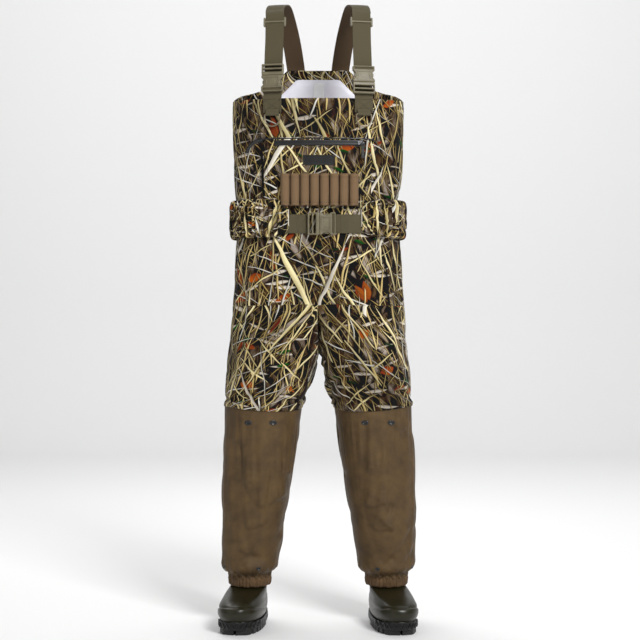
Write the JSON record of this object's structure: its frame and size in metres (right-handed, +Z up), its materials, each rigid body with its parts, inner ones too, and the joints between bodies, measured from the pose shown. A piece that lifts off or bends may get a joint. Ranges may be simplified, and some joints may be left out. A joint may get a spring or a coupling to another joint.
{
  "type": "chest waders",
  "caption": "Camouflage chest waders with rubber boots, brown gaiter legs, padded belt, buckled shoulder straps and a zipped chest pocket with shell loops.",
  "frame": {"origin": "middle of the bounding box on the ground under the soles", "axes": "+Z up, the front of the bib faces -Y, +X to the viewer's right from the front"},
  "size_m": [0.524, 0.3371, 1.6373],
  "materials": {
    "camo_cloth": "coated polyester with a reed and marsh camouflage print, matte",
    "lining": "smooth pale woven lining",
    "label": "white satin label, blank",
    "gaiter_cloth": "dense brown coated nylon, satin",
    "cuff_elastic": "gathered brown cloth over elastic",
    "eyelet": "black enamel",
    "zip_tape": "black water-resistant coated tape",
    "slider_metal": "dark plated metal",
    "pull_rubber": "black moulded rubber",
    "elastic": "brown ribbed elastic",
    "patch": "plain black rubber patch with no mark",
    "webbing": "olive-brown woven polypropylene webbing",
    "sleeve_cloth": "gathered camouflage cloth over padding",
    "ring_metal": "brushed olive-grey coated steel",
    "buckle_plastic": "olive-grey moulded acetal, satin",
    "outsole_rubber": "black lugged rubber",
    "footbed": "grey felt footbed",
    "boot_rubber": "dark olive satin rubber"
  },
  "bodies": {
    "garment": {"front_panel": "camo_cloth", "front_yoke": "camo_cloth", "back_panel": "camo_cloth", "back_bib": "camo_cloth", "torso_lining": "lining", "bib_facing": "camo_cloth", "care_label": "label", "left_thigh_front": "camo_cloth", "left_thigh_back": "camo_cloth", "right_thigh_front": "camo_cloth", "right_thigh_back": "camo_cloth", "left_lower_leg": "gaiter_cloth", "right_lower_leg": "gaiter_cloth", "left_ankle_cuff": "cuff_elastic", "right_ankle_cuff": "cuff_elastic", "left_knee_eyelets": "eyelet", "right_knee_eyelets": "eyelet", "left_ankle_eyelets": "eyelet", "right_ankle_eyelets": "eyelet", "chest_pocket": "camo_cloth", "chest_zip_tape": "zip_tape", "handwarmer_piping": "zip_tape", "shell_loop_backing": "elastic", "shell_loops": "elastic", "name_patch": "patch", "belt_webbing": "webbing", "left_belt_sleeve": "sleeve_cloth", "right_belt_sleeve": "sleeve_cloth", "belt_buckle_female": "buckle_plastic", "belt_buckle_male": "buckle_plastic", "left_strap_anchor": "webbing", "left_shoulder_strap": "webbing", "left_buckle_female": "buckle_plastic", "left_buckle_male": "buckle_plastic", "right_strap_anchor": "webbing", "right_shoulder_strap": "webbing", "right_buckle_female": "buckle_plastic", "right_buckle_male": "buckle_plastic", "left_boot_upper": "boot_rubber", "left_boot_footbed": "footbed", "left_boot_outsole": "outsole_rubber", "right_boot_upper": "boot_rubber", "right_boot_footbed": "footbed", "right_boot_outsole": "outsole_rubber"},
    "zip_slider": {"zip_slider": "slider_metal"},
    "zip_pull": {"zip_pull": "pull_rubber"},
    "belt_prong_upper": {"belt_prong_upper": "buckle_plastic"},
    "belt_prong_lower": {"belt_prong_lower": "buckle_plastic"},
    "left_adjuster": {"left_adjuster": "buckle_plastic"},
    "left_d_ring": {"left_d_ring": "ring_metal"},
    "left_prong_outer": {"left_prong_outer": "buckle_plastic"},
    "left_prong_inner": {"left_prong_inner": "buckle_plastic"},
    "right_adjuster": {"right_adjuster": "buckle_plastic"},
    "right_d_ring": {"right_d_ring": "ring_metal"},
    "right_prong_outer": {"right_prong_outer": "buckle_plastic"},
    "right_prong_inner": {"right_prong_inner": "buckle_plastic"}
  },
  "joints": [
    {"name": "left_adjuster_slide", "type": "slide", "parent": "garment", "child": "left_adjuster", "axis": [0.0235, 0.1018, 0.9945], "range_m": [-0.07, 0]},
    {"name": "left_d_ring_swing", "type": "hinge", "parent": "garment", "child": "left_d_ring", "pos_m": [-0.119, -0.10833, 1.341], "axis": [-0.9744, 0.225, 0], "range_deg": [0, 120]},
    {"name": "right_adjuster_slide", "type": "slide", "parent": "garment", "child": "right_adjuster", "axis": [-0.0235, 0.1018, 0.9945], "range_m": [-0.07, 0]},
    {"name": "right_d_ring_swing", "type": "hinge", "parent": "garment", "child": "right_d_ring", "pos_m": [0.119, -0.10833, 1.341], "axis": [-0.9744, -0.225, 0], "range_deg": [0, 120]},
    {"name": "zip_travel", "type": "hinge", "parent": "garment", "child": "zip_slider", "pos_m": [0, 0.594, 1.267], "axis": [0, 0, 1], "range_deg": [-17.6, 0]},
    {"name": "zip_pull_swing", "type": "hinge", "parent": "zip_slider", "child": "zip_pull", "pos_m": [0.116, -0.11124, 1.267], "axis": [-0.988, -0.1547, 0], "range_deg": [0, 100]},
    {"name": "left_prong_outer_press", "type": "hinge", "parent": "garment", "child": "left_prong_outer", "pos_m": [-0.13872, -0.10092, 1.43938], "axis": [-0.2237, -0.969, 0.1045], "range_deg": [0, 7], "stiffness_Nm_per_rad": 0.3},
    {"name": "left_prong_inner_press", "type": "hinge", "parent": "garment", "child": "left_prong_inner", "pos_m": [-0.09741, -0.11046, 1.43938], "axis": [0.2237, 0.969, -0.1045], "range_deg": [0, 7], "stiffness_Nm_per_rad": 0.3},
    {"name": "right_prong_outer_press", "type": "hinge", "parent": "garment", "child": "right_prong_outer", "pos_m": [0.13903, -0.10222, 1.42665], "axis": [0.2237, -0.969, 0.1045], "range_deg": [0, 7], "stiffness_Nm_per_rad": 0.3},
    {"name": "right_prong_inner_press", "type": "hinge", "parent": "garment", "child": "right_prong_inner", "pos_m": [0.09771, -0.11176, 1.42665], "axis": [-0.2237, 0.969, -0.1045], "range_deg": [0, 7], "stiffness_Nm_per_rad": 0.3},
    {"name": "belt_prong_upper_press", "type": "hinge", "parent": "garment", "child": "belt_prong_upper", "pos_m": [0.0056, -0.11788, 1.0782], "axis": [0, 1, 0], "range_deg": [0, 7], "stiffness_Nm_per_rad": 0.3},
    {"name": "belt_prong_lower_press", "type": "hinge", "parent": "garment", "child": "belt_prong_lower", "pos_m": [0.0056, -0.11788, 1.0358], "axis": [0, -1, 0], "range_deg": [0, 7], "stiffness_Nm_per_rad": 0.3}
  ]
}
